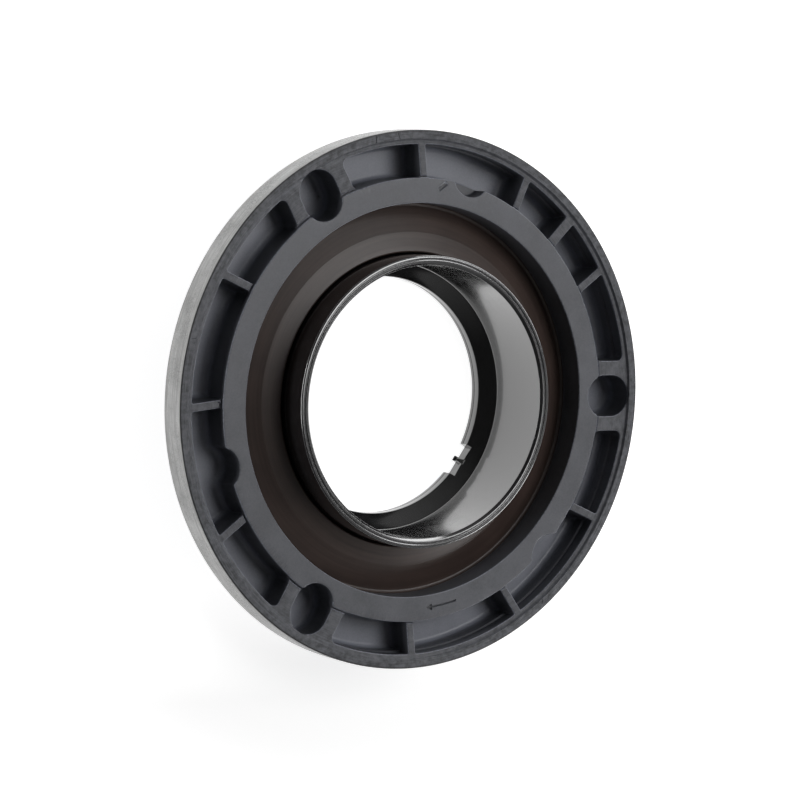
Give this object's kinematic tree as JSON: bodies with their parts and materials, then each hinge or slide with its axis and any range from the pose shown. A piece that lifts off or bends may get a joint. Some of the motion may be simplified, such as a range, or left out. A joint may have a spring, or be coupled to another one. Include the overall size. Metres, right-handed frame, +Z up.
{
  "type": "radial shaft seal",
  "caption": "Flat round shaft seal: a moulded carrier ring with a ribbed channel, a rubber sealing lip and a black assembly sleeve in its bore.",
  "frame": {"origin": "on the seal's axis, in the plane of the sleeve's tail end, on which the seal stands", "axes": "+Z up along the axis, out of the seal's front face; +X through the first boss with its blind slot; +Y completes the right-handed set"},
  "size_m": [0.11, 0.11, 0.0213],
  "materials": {
    "moulded_plastic": "dark blue-grey filled plastic, satin, moulded",
    "elastomer": "dark brown fluoroelastomer, satin, moulded",
    "spring_wire": "drawn spring wire, bright",
    "sleeve_plastic": "glossy black plastic, moulded"
  },
  "bodies": {
    "root": {"carrier": "moulded_plastic", "sealing_lip": "elastomer", "garter_spring": "spring_wire", "assembly_sleeve": "sleeve_plastic"}
  },
  "joints": []
}
